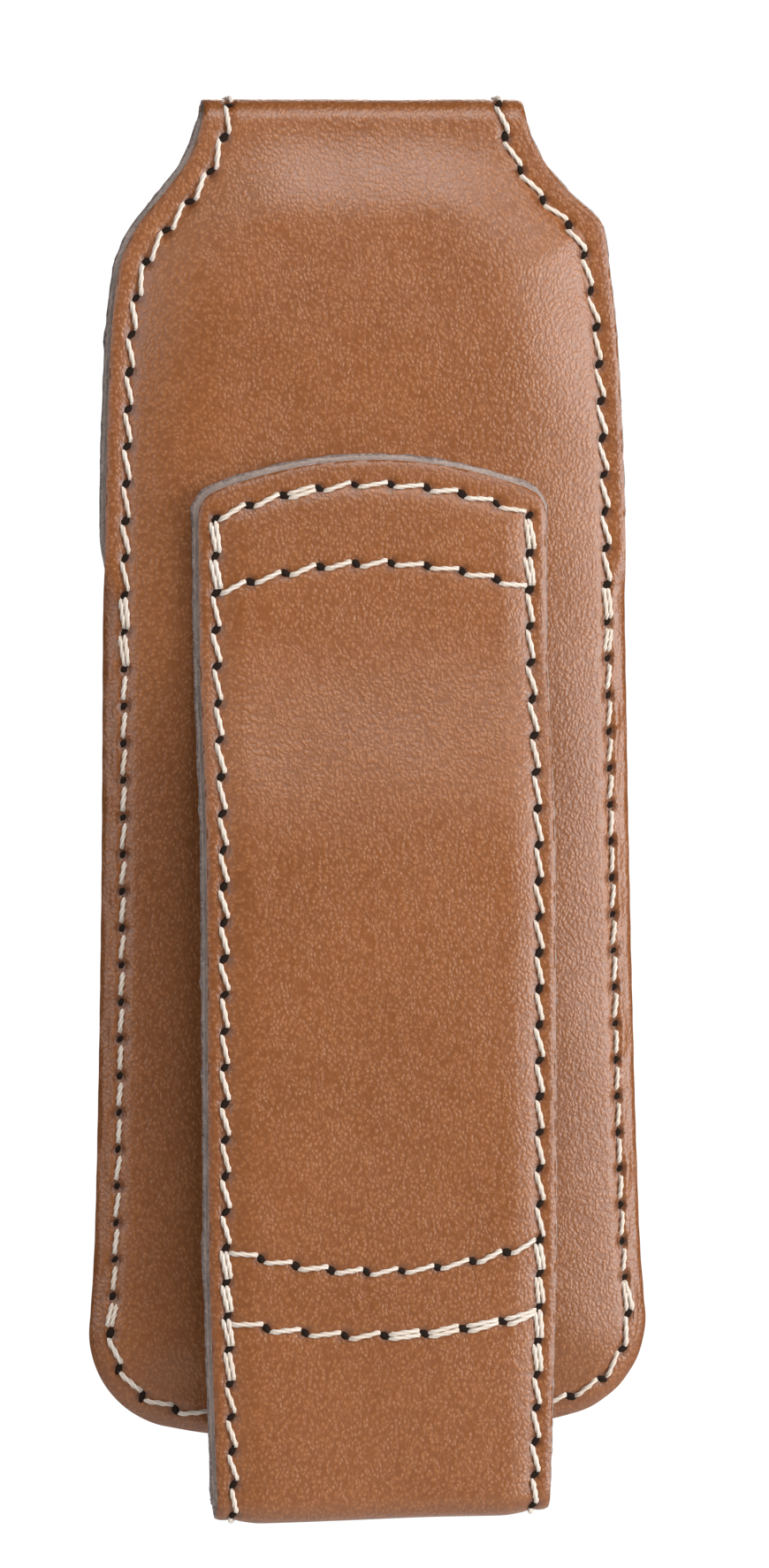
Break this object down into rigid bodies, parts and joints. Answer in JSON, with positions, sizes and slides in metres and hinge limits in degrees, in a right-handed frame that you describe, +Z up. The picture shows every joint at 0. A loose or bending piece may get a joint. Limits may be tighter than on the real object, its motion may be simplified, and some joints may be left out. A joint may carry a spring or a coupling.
{
  "type": "leather belt case",
  "caption": "Slim stitched leather pouch on a fold-back belt strap, with a snapped flap over the pocket mouth and a belt loop that opens with a snap.",
  "frame": {"origin": "middle of the belt slot between the back panel and the strap", "axes": "+Z up towards the top fold, -Y towards the back with the belt strap, +Y towards the pocket and flap, X along the belt"},
  "size_m": [0.056, 0.0287, 0.1393],
  "materials": {
    "leather": "semi-gloss pebble grain",
    "lining": "matt suede",
    "thread": "waxed twist",
    "snap_metal": "satin"
  },
  "bodies": {
    "case": {"back_panel": "leather", "back_lining": "lining", "pocket_panel": "leather", "pocket_lining": "lining", "strap_head": "leather", "strap_head_lining": "lining", "strap_stud": "snap_metal", "strap_stud_rivet": "snap_metal", "flap_stud": "snap_metal", "flap_stud_rivet": "snap_metal", "pocket_seam_thread": "thread", "back_edge_thread": "thread", "pocket_mouth_thread": "thread", "strap_head_thread": "thread"},
    "flap": {"flap_panel": "leather", "flap_lining": "lining", "flap_snap_cap": "snap_metal", "flap_snap_socket": "snap_metal", "flap_edge_thread": "thread"},
    "strap": {"strap_leg": "leather", "strap_leg_lining": "lining", "strap_snap_cap": "snap_metal", "strap_snap_socket": "snap_metal", "strap_edge_thread": "thread", "strap_row_thread": "thread"}
  },
  "joints": [
    {"name": "flap_hinge", "type": "hinge", "parent": "case", "child": "flap", "pos_m": [0, 0.00805, 0.07895], "axis": [1, 0, 0], "range_deg": [0, 150]},
    {"name": "strap_hinge", "type": "hinge", "parent": "case", "child": "strap", "pos_m": [0, -0.00005, 0.0313], "axis": [-1, 0, 0], "range_deg": [0, 110]}
  ]
}
